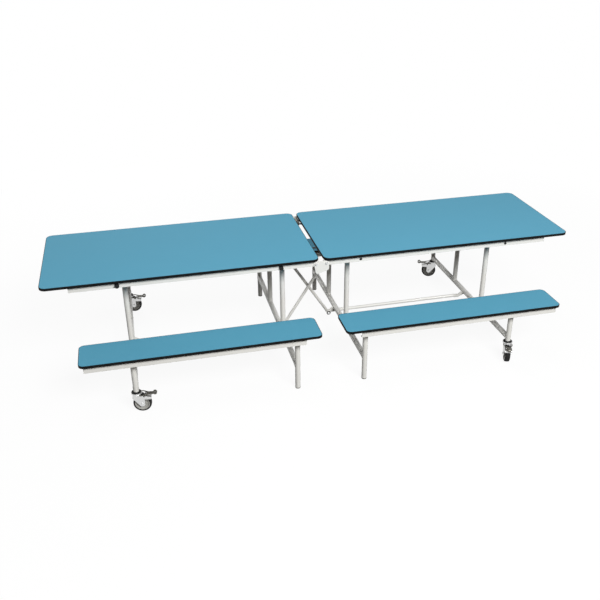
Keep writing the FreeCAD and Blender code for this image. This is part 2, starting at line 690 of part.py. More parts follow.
def fork(name, place):
    """The swivelling fork: a round crown, two cheeks with a tongue down to the axle, a hood over the
    wheel's trailing top, the axle with its heads, and the pedal's pin."""
    shoulder = "(%s - Size.fork_rim + Size.side_gap)" % CROWN_UNDERSIDE
    tongue = [("Size.trail", "Size.wheel / 2"), ("Size.trail", "Size.hood_low + Size.hood_rim"),
              ("Size.crown / 2 - Size.fork_rim", shoulder), ("Size.fork_rim - Size.fork_lead", shoulder)]
    hood_near = "(Size.trail + Size.fork_rim + Size.hood_rim - Size.hood_overlap)"
    hood_far = "(Size.hood_reach - Size.hood_rim)"
    hood_top = "(Size.wheel - Size.hood_rim + Size.side_gap)"
    hood = [(hood_near, "Size.hood_low + Size.hood_rim"), (hood_far, "Size.hood_low + Size.hood_rim"),
            (hood_far, hood_top + " - Size.hood_fall"), (hood_near, hood_top)]
    hollow = [(hood_near, "0"), (hood_far, "0")] + hood[2:]
    shell = fuse([rounded_plate(tongue, "Size.fork_rim", FORK_OUTER, "2 * " + FORK_OUTER),
                  rounded_plate(hood, "Size.hood_rim", FORK_OUTER, "2 * " + FORK_OUTER)])
    under_hood = rounded_plate(hollow, "Size.hood_rim - Size.fork_wall", FORK_INNER, "2 * " + FORK_INNER)
    under_crown = box(("Size.wheel + " + hood_near, "2 * " + FORK_INNER, CROWN_UNDERSIDE),
                      ("-Size.wheel", "-" + FORK_INNER, "0"))
    crown = rod("Size.crown / 2", "Size.crown_height", ("0", "0", CROWN_UNDERSIDE), "z")
    axle = rod("Size.axle / 2", "2 * " + FORK_OUTER, ("Size.trail", "-" + FORK_OUTER, "Size.wheel / 2"), "y")
    heads = [rod("Size.axle_head / 2", "Size.axle_head_height", ("Size.trail", start, "Size.wheel / 2"), "y")
             for start in (FORK_OUTER, "-%s - Size.axle_head_height" % FORK_OUTER)]
    pin_reach = "(%s + Size.pedal_pin_end)" % PEDAL_OUTER
    pin = rod("Size.pedal_pin / 2", "2 * " + pin_reach,
              ("Size.pedal_hinge", "-" + pin_reach, PEDAL_HEIGHT), "y")
    keep(fuse([cut(shell, [under_hood, under_crown]), crown, axle, pin] + heads), name, place)


def revolved(name, label, outline, place):
    """A body of revolution about the wheel's axle: its outline is given as (along the axle, radius)."""
    body = new_body(name)
    sketch = body_sketch(body, "YZ_Plane", name + "Outline")
    polygon(sketch, outline)
    turned = body.newObject("PartDesign::Revolution", name + "Turned")
    turned.Profile = sketch
    turned.ReferenceAxis = (sketch, ["H_Axis"])
    turned.Angle = 360
    keep(body, label, place)


def wheel(corner, place):
    """A moulded core with hub, web and rim, and the grey tyre round it."""
    side, bevel, outer = "Size.wheel_width / 2", "Size.tread_bevel", "Size.wheel / 2"
    seat = "(Size.wheel_core / 2)"
    bore = "(Size.axle / 2 + Size.bore_clearance)"
    hub_side = "(%s - Size.side_gap)" % FORK_INNER
    rim_side = "(%s - Size.core_relief)" % side
    web = "(Size.wheel_web / 2)"
    rim = "(%s - Size.wheel_rim)" % seat
    hub_foot = "(Size.hub / 2 + Size.core_relief)"
    rim_foot = "(%s - Size.core_relief)" % rim
    revolved("Tyre", "tyre_" + corner, [
        ("-" + side, seat), (side, seat), (side, outer + " - " + bevel), (side + " - " + bevel, outer),
        ("%s - %s" % (bevel, side), outer), ("-" + side, outer + " - " + bevel)], place)
    revolved("Core", "wheel_core_" + corner, [
        ("-" + hub_side, bore), (hub_side, bore), (hub_side, "Size.hub / 2"), (web, hub_foot),
        (web, rim_foot), (rim_side, rim), (rim_side, seat), ("-" + rim_side, seat),
        ("-" + rim_side, rim), ("-" + web, rim_foot), ("-" + web, hub_foot),
        ("-" + hub_side, "Size.hub / 2")], place)


def flat_plate(corners, underside, thickness):
    """A level plate: its outline is given as points (along, across)."""
    sketch = doc.addObject("Sketcher::SketchObject", "FlatOutline")
    sketch.setExpression("Placement.Base.z", underside)
    polygon(sketch, corners)
    plate = doc.addObject("Part::Extrusion", "FlatPlate")
    plate.Base = sketch
    plate.DirMode = "Normal"
    plate.setExpression("LengthFwd", thickness)
    plate.Solid = True
    return plate


def brake_pedal(name, place):
    """The pedal over the wheel: two bars beside the fork run together to a stem with a rolled toe ring."""
    ring_x = "(Size.pedal_reach - Size.toe_ring / 2)"
    stem_end = "(%s - (Size.toe_ring + Size.toe_hole) / 4)" % ring_x
    one_side = [("Size.pedal_window", "Size.pedal_stem / 4"), ("Size.pedal_shoulder", PEDAL_INNER),
                ("Size.pedal_hinge", PEDAL_INNER), ("Size.pedal_hinge", PEDAL_OUTER),
                ("Size.pedal_shoulder", PEDAL_OUTER), ("Size.pedal_neck", "Size.pedal_stem / 2"),
                (stem_end, "Size.pedal_stem / 2")]
    other_side = [(along, "-" + across) for along, across in reversed(one_side)]
    arm = flat_plate(one_side + other_side, PEDAL_HEIGHT, "Size.pedal_thickness")
    eyes = [rod("Size.pedal_barrel / 2", "Size.pedal_bar", ("Size.pedal_hinge", start, PEDAL_HEIGHT), "y")
            for start in (PEDAL_INNER, "-" + PEDAL_OUTER)]
    toe = ("-Size.toe_width / 2", PEDAL_HEIGHT + " + Size.toe_rise")
    ring = rod("Size.toe_ring / 2", "Size.toe_width", (ring_x,) + toe, "y")
    hole = rod("Size.toe_hole / 2", "Size.toe_width", (ring_x,) + toe, "y")
    bore = rod("Size.pedal_pin / 2 + Size.bore_clearance", "2 * " + PEDAL_OUTER,
               ("Size.pedal_hinge", "-" + PEDAL_OUTER, PEDAL_HEIGHT), "y")
    keep(cut(fuse([arm, ring] + eyes), [hole, bore]), name, place)


# Each caster came to rest with its wheel trailing its own way, degrees about Z from +X.
TRAILING = {"front_left": -8, "rear_left": -10, "front_right": -110, "rear_right": 160}


def caster(corner):
    across = -1 if corner.startswith("front") else 1
    along = 1 if corner.endswith("right") else -1
    stem = Vector(along * value(OUTER), across * value("Size.leg_spread"), 0)
    place = Placement(stem, Rotation(UP, TRAILING[corner]))
    axle = place * Placement(Vector(value("Size.trail"), 0, value("Size.wheel / 2")), Rotation())
    fork("fork_" + corner, place)
    wheel(corner, axle)
    brake_pedal("brake_pedal_" + corner, place)


# ---------------------------------------------------------------- assembly

for side in SIDES:
    board_and_band("top_" + side, ("Size.centre_gap / 2", "-Size.table_width / 2"),
                   ("Size.table_length / 2", "Size.table_width / 2"), "Size.top_corner", TOP_UNDERSIDE,
                   "Size.top_thickness", SIDES[side])
    top_rails(side)
    for row, sign in (("front", -1), ("rear", 1)):
        turned = sign if side == "right" else -sign
        edges = sorted(("%d * Size.seat_inner" % turned, "%d * %s" % (turned, SEAT_OUTER)), key=value)
        seat = "bench_%s_%s" % (row, side)
        board_and_band(seat, ("Size.seat_start", edges[0]), ("Size.seat_end", edges[1]), "Size.seat_corner",
                       SEAT_UNDERSIDE, "Size.seat_thickness", SIDES[side])
        seat_rails(seat + "_rails", turned, side)
    leg_frame("inner_frame_" + side, INNER, "Size.glide_height", side)
    leg_frame("outer_frame_" + side, OUTER, "Size.caster_height", side)
    shaft_caps("shaft_caps_inner_" + side, INNER, side)
    shaft_caps("shaft_caps_outer_" + side, OUTER, side)
    glides(side)
    tie_bar(side)
    link_bracket(side)
    buffer_stop(side)
    caster_stems(side)
cross_link("link_rear", "left")
cross_link("link_front", "right")
centre_plate("centre_plate_front", -1)
centre_plate("centre_plate_rear", 1)
centre_beam()
centre_bolts()
for corner in TRAILING:
    caster(corner)


# ---------------------------------------------------------------- export

doc.recompute()
for item in doc.Objects:
    if {"Invalid", "Error"} & set(item.State):
        raise RuntimeError("%s (%s) did not build" % (item.Name, item.Label))
os.makedirs("parts", exist_ok=True)
for piece in pieces:
    if piece.Shape.isNull() or not piece.Shape.isValid():
        raise RuntimeError("%s has no valid shape" % piece.Label)
    piece.Shape.exportStep("parts/%s.step" % piece.Label)
    box_of = piece.Shape.BoundBox
    print("%-28s solids %d  volume %10.0f  x %.1f..%.1f  y %.1f..%.1f  z %.1f..%.1f" % (
        piece.Label, len(piece.Shape.Solids), piece.Shape.Volume, box_of.XMin, box_of.XMax,
        box_of.YMin, box_of.YMax, box_of.ZMin, box_of.ZMax))
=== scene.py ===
import json
import math

import bmesh
import bpy
from mathutils import Matrix, Vector

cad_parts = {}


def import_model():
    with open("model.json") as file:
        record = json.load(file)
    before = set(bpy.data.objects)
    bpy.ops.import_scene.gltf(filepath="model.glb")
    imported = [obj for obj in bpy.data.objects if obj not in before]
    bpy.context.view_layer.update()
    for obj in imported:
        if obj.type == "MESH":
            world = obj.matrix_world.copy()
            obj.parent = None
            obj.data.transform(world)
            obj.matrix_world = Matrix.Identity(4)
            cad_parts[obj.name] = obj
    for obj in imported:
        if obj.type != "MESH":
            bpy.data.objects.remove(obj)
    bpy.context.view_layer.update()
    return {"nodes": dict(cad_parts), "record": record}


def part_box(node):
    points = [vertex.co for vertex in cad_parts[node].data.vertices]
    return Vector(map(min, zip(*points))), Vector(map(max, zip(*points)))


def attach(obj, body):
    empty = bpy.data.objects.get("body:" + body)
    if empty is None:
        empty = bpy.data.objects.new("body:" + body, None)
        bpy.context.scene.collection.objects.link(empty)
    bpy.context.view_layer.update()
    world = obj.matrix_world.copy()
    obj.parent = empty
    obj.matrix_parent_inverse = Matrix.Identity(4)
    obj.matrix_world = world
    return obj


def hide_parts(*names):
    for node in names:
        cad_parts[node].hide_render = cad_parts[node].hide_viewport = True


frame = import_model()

MM = 0.001
JOINTS = {joint["name"]: joint for joint in frame["record"]["behaviour"]["joints"]}
BODY_OF = {node: body for body, nodes in frame["record"]["behaviour"]["bodies"].items() for node in nodes}

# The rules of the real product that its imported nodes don't state, in millimetres.
TOP_CORNER, SEAT_CORNER = 38, 30
TUBE, CROSS_TUBE, CROSS_HEIGHT = 30, 32, 145
KNUCKLE, LEAN = 25, math.radians(50)
UPRIGHT_SPREAD, LEG_SPREAD = 200, 585
EYE_RADIUS, EYE_GAUGE = 10, 10
RAIL_GAUGE = 2

# How finely the made pieces are built: the angle above which an edge stays crisp, and the steps round
# a welded seam.
CREASE = math.radians(35)
SEAM_STEPS = 64


# ------------------------------------------------------------------ colours and shader building

def srgb(code):
    """An sRGB hex value as the linear colour that the shaders take."""
    channels = [int(code[start:start + 2], 16) / 255 for start in (1, 3, 5)]
    linear = [c / 12.92 if c <= 0.04045 else ((c + 0.055) / 1.055) ** 2.4 for c in channels]
    return (*linear, 1.0)


def new_material(name):
    """An empty material with its output and one Principled shader, ready for its own nodes."""
    material = bpy.data.materials.new(name)
    material.use_nodes = True
    tree = material.node_tree
    shader = tree.nodes["Principled BSDF"]
    return material, tree, shader


def add(tree, kind, sockets=(), **settings):
    """Add a node, set its properties and inputs by name, and link or set its other sockets."""
    node = tree.nodes.new(kind)
    for name, setting in settings.items():
        if hasattr(node, name):
            setattr(node, name, setting)
        else:
            node.inputs[name.replace("_", " ")].default_value = setting
    for socket, source in sockets:
        if isinstance(source, bpy.types.NodeSocket):
            tree.links.new(source, node.inputs[socket])
        else:
            node.inputs[socket].default_value = source
    return node


def worn_edges(tree, point, reach):
    """Where a surface turns sharply within the reach, broken into patches of six times that."""
    rounded = add(tree, "ShaderNodeBevel", samples=6, Radius=reach * MM)
    flat = add(tree, "ShaderNodeNewGeometry")
    alike = add(tree, "ShaderNodeVectorMath", [(0, rounded.outputs[0]), (1, flat.outputs["Normal"])],
                operation="DOT_PRODUCT")
    edge = add(tree, "ShaderNodeMapRange", [("Value", alike.outputs["Value"])], From_Min=0.985, From_Max=0.80)
    patches = add(tree, "ShaderNodeTexNoise", [("Vector", point)], Scale=1 / (6 * reach * MM), Detail=3.0)
    rubbed = add(tree, "ShaderNodeMapRange", [("Value", patches.outputs["Fac"])], From_Min=0.3, From_Max=0.7,
                 To_Min=0.2, To_Max=1.0)
    worn = add(tree, "ShaderNodeMath", [(0, edge.outputs["Result"]), (1, rubbed.outputs["Result"])],
               operation="MULTIPLY", use_clamp=True)
    return worn.outputs[0]


def surface(name, drift, grain, colours, gloss, strength, depth, worn, reach):
    """What all these finishes share: a colour and a gloss that drift between two values, a finer
    relief as deep as stated, and edges rubbed to the worn colour.  Drift, grain, depth and reach
    are in millimetres."""
    material, tree, shader = new_material(name)
    point = add(tree, "ShaderNodeTexCoord").outputs["Object"]
    cloud = add(tree, "ShaderNodeTexNoise", [("Vector", point)], Scale=1 / (drift * MM), Detail=4.0)
    fine = add(tree, "ShaderNodeTexNoise", [("Vector", point)], Scale=1 / (grain * MM), Detail=3.0)
    skin = add(tree, "ShaderNodeMix",
               [(0, cloud.outputs["Fac"]), (6, srgb(colours[0])), (7, srgb(colours[1]))], data_type="RGBA")
    rubbed = add(tree, "ShaderNodeMix",
                 [(0, worn_edges(tree, point, reach)), (6, skin.outputs[2]), (7, srgb(worn))],
                 data_type="RGBA")
    rough = add(tree, "ShaderNodeMapRange", [("Value", cloud.outputs["Fac"])], From_Min=0.3, From_Max=0.7,
                To_Min=gloss[0], To_Max=gloss[1])
    relief = add(tree, "ShaderNodeBump", [("Height", fine.outputs["Fac"])], Strength=strength,
                 Distance=depth * MM)
    tree.links.new(rubbed.outputs[2], shader.inputs["Base Color"])
    tree.links.new(rough.outputs["Result"], shader.inputs["Roughness"])
    tree.links.new(relief.outputs["Normal"], shader.inputs["Normal"])
    return material, shader


# ------------------------------------------------------------------ materials

def laminate():
    """High-pressure laminate, pressed against a suede plate: an even colour whose faint grain of
    1.2 mm breaks up the gloss.  The board's underside is its plain brown backing sheet, with
    14 mm clouds in its kraft paper."""
    material, shader = surface("High_pressure_laminate", drift=180, grain=1.2,
                               colours=("#569DB8", "#5BA0BB"), gloss=(0.50, 0.53),
                               strength=0.15, depth=0.05, worn="#4C8FAA", reach=0.5)
    tree = material.node_tree
    face = shader.inputs["Base Color"].links[0].from_socket
    place = add(tree, "ShaderNodeTexCoord")
    kraft = add(tree, "ShaderNodeTexNoise", [("Vector", place.outputs["Object"])], Scale=1 / (14 * MM),
                Detail=5.0)
    backing = add(tree, "ShaderNodeMix",
                  [(0, kraft.outputs["Fac"]), (6, srgb("#54483C")), (7, srgb("#665848"))], data_type="RGBA")
    height = add(tree, "ShaderNodeSeparateXYZ", [(0, place.outputs["Normal"])])
    below = add(tree, "ShaderNodeMath", [(0, height.outputs["Z"]), (1, -0.5)], operation="LESS_THAN")
    both = add(tree, "ShaderNodeMix", [(0, below.outputs[0]), (6, face), (7, backing.outputs[2])],
               data_type="RGBA")
    tree.links.new(both.outputs[2], shader.inputs["Base Color"])
    shader.inputs["Specular IOR Level"].default_value = 0.1
    return material


def edge_moulding():
    """Black polyurethane edging, moulded round the board: a matt skin with 25 mm scuffs, rubbed a
    shade paler where the nose meets people's arms."""
    material, shader = surface("Moulded_polyurethane_edging", drift=25, grain=5,
                               colours=("#030304", "#08090A"), gloss=(0.50, 0.66),
                               strength=0.1, depth=0.1, worn="#141517", reach=1.2)
    shader.inputs["Specular IOR Level"].default_value = 0.12
    return material


def powder_coat():
    """Cream polyester powder coat on steel tube: a hard gloss with the 3 mm orange peel of the
    baked powder, which draws thin and a little darker over sharp edges."""
    material, shader = surface("Cream_powder_coated_steel", drift=90, grain=3,
                               colours=("#EAE9E3", "#F1F0EC"), gloss=(0.28, 0.38),
                               strength=0.12, depth=0.08, worn="#C6C3B9", reach=0.9)
    shader.inputs["Coat Weight"].default_value = 0.15
    return material


def moulded_black():
    """Injection-moulded nylon: near black with a fine spark-eroded texture of 0.8 mm, and edges
    that rub to a paler grey."""
    material, shader = surface("Moulded_black_nylon", drift=9, grain=0.8,
                               colours=("#0C0C0D", "#151516"), gloss=(0.44, 0.60),
                               strength=0.3, depth=0.05, worn="#2C2C2D", reach=0.8)
    shader.inputs["Specular IOR Level"].default_value = 0.3
    return material


def buffer_rubber():
    """Moulded natural rubber: matt black with a dusty bloom in 6 mm patches."""
    return surface("Moulded_rubber", drift=6, grain=2, colours=("#0E0E0E", "#222120"), gloss=(0.72, 0.88),
                   strength=0.2, depth=0.1, worn="#2E2D2B", reach=0.8)[0]


def tyre_rubber():
    """Thermoplastic rubber tread, injection moulded on the core: near black and matt, with 4 mm
    rolling scuffs and dusty shoulders."""
    material, shader = surface("Thermoplastic_rubber_tread", drift=4, grain=2,
                               colours=("#121211", "#1D1D1C"), gloss=(0.62, 0.82),
                               strength=0.25, depth=0.12, worn="#3B3A37", reach=1.0)
    shader.inputs["Specular IOR Level"].default_value = 0.25
    return material


def wheel_plastic():
    """Injection-moulded polypropylene: pale grey with a soft sheen, 12 mm flow marks, and grime
    rubbed off its raised rings."""
    return surface("Moulded_polypropylene", drift=12, grain=4, colours=("#A3A29D", "#B8B7B1"),
                   gloss=(0.36, 0.50), strength=0.1, depth=0.1, worn="#D2D1CC", reach=0.8)[0]


def glide_nylon():
    """Moulded nylon glides, undyed and greyed by the floor, with 4 mm scuffs and rubbed edges."""
    return surface("Moulded_grey_nylon", drift=4, grain=2, colours=("#8B8983", "#A9A7A1"),
                   gloss=(0.48, 0.64), strength=0.2, depth=0.1, worn="#C0BEB8", reach=0.8)[0]


def zinc_plate():
    """Bright zinc plate on pressed steel: a blotchy 5 mm spangle in a silvery metal, whose edges
    are polished by handling."""
    material, shader = surface("Bright_zinc_plated_steel", drift=5, grain=2,
                               colours=("#C9CACB", "#E4E4E2"), gloss=(0.28, 0.42),
                               strength=0.08, depth=0.05, worn="#F1F1EE", reach=0.7)
    shader.inputs["Metallic"].default_value = 0.9
    return material


def black_zinc():
    """Black-passivated zinc on a pressed steel pedal: a dull dark metal in 7 mm blotches, with its
    edges painted pale: partly bare steel rubbed by shoes, partly a painted highlight."""
    # The pale worn colour along the pedal's edges is partly rubbed bare steel and partly a painted highlight.
    material, shader = surface("Black_passivated_steel", drift=7, grain=2,
                               colours=("#57554F", "#74726B"), gloss=(0.36, 0.52),
                               strength=0.12, depth=0.06, worn="#B4B2AB", reach=0.7)
    shader.inputs["Metallic"].default_value = 0.7
    return material


LAMINATE = laminate()
EDGING = edge_moulding()
CREAM = powder_coat()
NYLON = moulded_black()
RUBBER = buffer_rubber()
TYRE = tyre_rubber()
CORE = wheel_plastic()
ZINC = zinc_plate()
DARK_ZINC = black_zinc()
GLIDE = glide_nylon()

FINISHES = (
    ("_panel", LAMINATE), ("_edge", EDGING), ("shaft_caps", NYLON), ("glides", GLIDE),
    ("caster_stems", NYLON), ("brake_pedal", DARK_ZINC), ("buffer", RUBBER), ("tyre", TYRE),
    ("wheel_core", CORE), ("fork", ZINC), ("centre_bolts", ZINC), ("link_bracket", ZINC),
)


def finish_of(node):
    """The finish for a node's name: the first word that it holds, or else the frames' paint."""
    for word, material in FINISHES:
        if word in node:
            return material
    return CREAM


def dress_cad_nodes():
    """Give every carried-over node the finish of the real piece."""
    for name, node in frame["nodes"].items():
        node.data.materials.clear()
        node.data.materials.append(finish_of(name))


# ------------------------------------------------------------------ pieces and turned shapes

def pivot(joint):
    """Where a joint's axis runs, at rest."""
    return Vector(JOINTS[joint]["pos_m"])


def joint_axis(joint):
    return Vector(JOINTS[joint]["axis"]).normalized()


def fit_piece(name, mesh, node, replaces=True):
    """Put a finished mesh in the scene on the body that carries the node; the mesh keeps its own material."""
    piece = bpy.data.objects.new(name, mesh)
    bpy.context.scene.collection.objects.link(piece)
    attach(piece, BODY_OF[node])
    if replaces:
        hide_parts(node)
    return piece


def eased(outline, radius, steps=4):
    """Round every inner corner of an outline of (radius, along) points with a short curve."""
    points = [Vector(point) for point in outline]
    smooth = [points[0]]
    for before, corner, after in zip(points, points[1:], points[2:]):
        reach = min(radius, (before - corner).length / 2.01, (after - corner).length / 2.01)
        start = corner + (before - corner).normalized() * reach
        end = corner + (after - corner).normalized() * reach
        for step in range(steps + 1):
            share = step / steps
            smooth.append(start * (1 - share) ** 2 + corner * 2 * share * (1 - share) + end * share ** 2)
    smooth.append(points[-1])
    return [tuple(point) for point in smooth]


def turned(shell, outline, centre, axis, sides=48):
    """Add a body of revolution to a shell.  The outline is a closed loop of (radius, along), in mm."""
    across = axis.orthogonal().normalized()
    upward = axis.cross(across)
    rings = []
    for radius, along in outline:
        ring = []
        for side in range(sides):
            turn = 2 * math.pi * side / sides
            spoke = across * math.cos(turn) + upward * math.sin(turn)
            ring.append(shell.verts.new(centre + (axis * along + spoke * radius) * MM))
        rings.append(ring)
    for ring, following in zip(rings, rings[1:] + rings[:1]):
        for side in range(sides):
            near = (side + 1) % sides
            shell.faces.new((ring[side], ring[near], following[near], following[side]))


def as_mesh(name, shell, material):
    """Close a shell's poles, point its faces outwards and shade it smooth except at sharp edges."""
    bmesh.ops.remove_doubles(shell, verts=shell.verts, dist=0.001 * MM)
    bmesh.ops.dissolve_degenerate(shell, edges=shell.edges, dist=0.001 * MM)
    bmesh.ops.recalc_face_normals(shell, faces=shell.faces)
    mesh = bpy.data.meshes.new(name)
    shell.to_mesh(mesh)
    shell.free()
    mesh.materials.append(material)
    mesh.shade_smooth()
    mesh.set_sharp_from_angle(angle=CREASE)
    return mesh


def flatten_wide_faces(mesh):
    """Shade wide faces flat, so that only bends and edges are smooth."""
    wide = 5 * MM
    for face in mesh.polygons:
        corners = [mesh.vertices[index].co for index in face.vertices]
        girth = sum((near - far).length for near, far in zip(corners, corners[1:] + corners[:1]))
        face.use_smooth = 2 * face.area / girth < wide


def softened(node, width):
    """A copy of a plate's mesh with its flat faces made whole and its sharp edges broken."""
    flat, sharp = math.radians(1), math.radians(30)
    shell = bmesh.new()
    shell.from_mesh(frame["nodes"][node].data)
    bmesh.ops.remove_doubles(shell, verts=shell.verts, dist=0.01 * MM)
    bmesh.ops.dissolve_limit(shell, angle_limit=flat, verts=shell.verts, edges=shell.edges)
    edges = [edge for edge in shell.edges
             if len(edge.link_faces) == 2 and edge.calc_face_angle(0) > sharp]
    bmesh.ops.bevel(shell, geom=edges, offset=width * MM, segments=2, profile=0.5,
                    affect="EDGES", clamp_overlap=True)
    mesh = as_mesh(node + "_finished", shell, finish_of(node))
    flatten_wide_faces(mesh)
    return mesh


def fit_softened(node, width):
    """Put the softened copy of a plate in its place."""
    fit_piece(node + "_finished", softened(node, width), node)


# ------------------------------------------------------------------ geometry trees for what repeats

def new_tree(name, inputs):
    """A geometry tree with named inputs, given as (name, socket kind)."""
    tree = bpy.data.node_groups.new(name, "GeometryNodeTree")
    tree.interface.new_socket("Geometry", in_out="INPUT", socket_type="NodeSocketGeometry")
    for title, kind in inputs:
        tree.interface.new_socket(title, in_out="INPUT", socket_type="NodeSocket" + kind)
    tree.interface.new_socket("Geometry", in_out="OUTPUT", socket_type="NodeSocketGeometry")
    return tree, add(tree, "NodeGroupInput").outputs


def end_tree(tree, geometry, material_input):
    """Make a tree's instances real, shade them smooth and give them their material."""
    real = add(tree, "GeometryNodeRealizeInstances", [("Geometry", geometry)])
    smooth = add(tree, "GeometryNodeSetShadeSmooth", [("Geometry", real.outputs[0])])
    painted = add(tree, "GeometryNodeSetMaterial",
                  [("Geometry", smooth.outputs[0]), ("Material", material_input)])
    add(tree, "NodeGroupOutput", [("Geometry", painted.outputs[0])])


def grown(name, tree, points=(), edges=(), **sizes):
    """Run a tree on a guide of points and edges, and return the plain mesh that it makes."""
    guide = bpy.data.meshes.new(name + "_guide")
    guide.from_pydata([tuple(point) for point in points], list(edges), [])
    holder = bpy.data.objects.new(name + "_guide", guide)
    bpy.context.scene.collection.objects.link(holder)
    modifier = holder.modifiers.new(name, "NODES")
    modifier.node_group = tree
    for socket in tree.interface.items_tree:
        if socket.in_out == "INPUT" and socket.name in sizes:
            modifier[socket.identifier] = sizes[socket.name]
    settled = holder.evaluated_get(bpy.context.evaluated_depsgraph_get())
    mesh = bpy.data.meshes.new_from_object(settled)
    holder.modifiers.remove(modifier)
    bpy.data.objects.remove(holder)
    bpy.data.meshes.remove(guide)
    return mesh


def edging_tree():
    """An edging that is swept once round a board: a rounded section along a rounded rectangle."""
    tree, given = new_tree("Swept_edging", [("Middle", "Vector"), ("Length", "Float"), ("Width", "Float"),
                                            ("Corner", "Float"), ("Gauge", "Float"), ("Height", "Float"),
                                            ("Material", "Material")])
    path = add(tree, "GeometryNodeCurvePrimitiveQuadrilateral",
               [("Width", given["Length"]), ("Height", given["Width"])])
    rounded = add(tree, "GeometryNodeFilletCurve",
                  [("Curve", path.outputs[0]), ("Radius", given["Corner"])], mode="POLY", Count=14)
    placed = add(tree, "GeometryNodeTransform",
                 [("Geometry", rounded.outputs[0]), ("Translation", given["Middle"])])
    upright = add(tree, "GeometryNodeSetCurveNormal", [("Curve", placed.outputs[0])], mode="Z_UP")
    section = add(tree, "GeometryNodeCurvePrimitiveQuadrilateral",
                  [("Width", given["Gauge"]), ("Height", given["Height"])])
    nose = add(tree, "ShaderNodeMath", [(0, given["Gauge"]), (1, 0.45)], operation="MULTIPLY")
    softer = add(tree, "GeometryNodeFilletCurve",
                 [("Curve", section.outputs[0]), ("Radius", nose.outputs[0])], mode="POLY", Count=4)
    swept = add(tree, "GeometryNodeCurveToMesh",
                [("Curve", upright.outputs[0]), ("Profile Curve", softer.outputs[0])])
    end_tree(tree, swept.outputs[0], given["Material"])
    return tree


def weld_tree():
    """A weld bead: overlapping puddles that a welder leaves at an even pitch along a joint."""
    tree, given = new_tree("Weld_bead", [("Pitch", "Float"), ("Bead", "Float"), ("Material", "Material")])
    seam = add(tree, "GeometryNodeMeshToCurve", [("Mesh", given["Geometry"])])
    spaced = add(tree, "GeometryNodeResampleCurve", [("Curve", seam.outputs[0]), ("Length", given["Pitch"])],
                 mode="LENGTH")
    puddle = add(tree, "GeometryNodeMeshUVSphere", [("Radius", given["Bead"])], Segments=8, Rings=5)
    uneven = add(tree, "FunctionNodeRandomValue", [(2, 0.85), (3, 1.15)], data_type="FLOAT", Seed=7)
    beads = add(tree, "GeometryNodeInstanceOnPoints",
                [("Points", spaced.outputs[0]), ("Instance", puddle.outputs[0]),
                 ("Scale", uneven.outputs[1])])
    end_tree(tree, beads.outputs[0], given["Material"])
    return tree


def fastener_tree():
    """Bolt or screw heads at the guide's points: a washer, a head with any number of corners and
    the head's turned chamfer."""
    tree, given = new_tree("Fasteners", [("Facing", "Vector"), ("Corners", "Int"), ("Head", "Float"),
                                         ("Head Height", "Float"), ("Washer", "Float"),
                                         ("Washer Height", "Float"), ("Material", "Material")])

    def raised(mesh, *heights):
        total = heights[0]
        for height in heights[1:]:
            total = add(tree, "ShaderNodeMath", [(0, total), (1, height)], operation="ADD").outputs[0]
        up = add(tree, "ShaderNodeCombineXYZ", [("Z", total)])
        moved = add(tree, "GeometryNodeTransform", [("Geometry", mesh), ("Translation", up.outputs[0])])
        return moved.outputs[0]

    def share(socket, part):
        return add(tree, "ShaderNodeMath", [(0, socket), (1, part)], operation="MULTIPLY").outputs[0]

    washer = add(tree, "GeometryNodeMeshCone",
                 [("Radius Top", share(given["Washer"], 0.94)), ("Radius Bottom", given["Washer"]),
                  ("Depth", given["Washer Height"])], Vertices=28)
    head = add(tree, "GeometryNodeMeshCone",
               [("Vertices", given["Corners"]), ("Radius Top", given["Head"]),
                ("Radius Bottom", given["Head"]), ("Depth", share(given["Head Height"], 0.8))])
    chamfer = add(tree, "GeometryNodeMeshCone",
                  [("Vertices", given["Corners"]), ("Radius Top", share(given["Head"], 0.78)),
                   ("Radius Bottom", given["Head"]), ("Depth", share(given["Head Height"], 0.2))])
    base = given["Washer Height"]
    joined = add(tree, "GeometryNodeJoinGeometry")
    for mesh in (washer.outputs[0], raised(head.outputs[0], base),
                 raised(chamfer.outputs[0], base, share(given["Head Height"], 0.8))):
        tree.links.new(mesh, joined.inputs[0])
    points = add(tree, "GeometryNodeMeshToPoints", [("Mesh", given["Geometry"])])
    facing = add(tree, "FunctionNodeAlignRotationToVector", [("Vector", given["Facing"])], axis="Z")
    heads = add(tree, "GeometryNodeInstanceOnPoints",
                [("Points", points.outputs[0]), ("Instance", joined.outputs[0]),
                 ("Rotation", facing.outputs[0])])
    end_tree(tree, heads.outputs[0], given["Material"])
    return tree


EDGING_TREE = edging_tree()
WELD_TREE = weld_tree()
FASTENER_TREE = fastener_tree()


def outward(mesh, crease=CREASE):
    """Point the faces of a grown mesh outwards and keep its sharp edges crisp."""
    shell = bmesh.new()
    shell.from_mesh(mesh)
    bmesh.ops.recalc_face_normals(shell, faces=shell.faces)
    shell.to_mesh(mesh)
    shell.free()
    mesh.set_sharp_from_angle(angle=crease)
    return mesh


def heads(name, node, points, facing, head, height, washer, corners=6):
    """A set of equal zinc-plated bolt or screw heads on one body."""
    mesh = grown(name, FASTENER_TREE, points, Facing=Vector(facing), Corners=corners,
                 **{"Head": head * MM, "Head Height": height * MM, "Washer": washer * MM,
                    "Washer Height": 1.0 * MM, "Material": ZINC})
    fit_piece(name, outward(mesh), node, replaces=False)


# ------------------------------------------------------------------ edging, caps, feet and stops

def board_edging(board, corner):
    """The black moulding round one top or seat: its nose is round and its lips sit flush."""
    node = board + "_edge"
    low, high = (Vector(point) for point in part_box(node))
    gauge = Vector(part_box(board + "_panel")[0]).x - low.x
    mesh = grown(node + "_moulding", EDGING_TREE, Middle=(low + high) / 2,
                 Length=high.x - low.x - gauge, Width=high.y - low.y - gauge,
                 Corner=corner * MM - gauge / 2, Gauge=gauge, Height=high.z - low.z, Material=EDGING)
    fit_piece(node + "_moulding", outward(mesh, math.radians(60)), node)


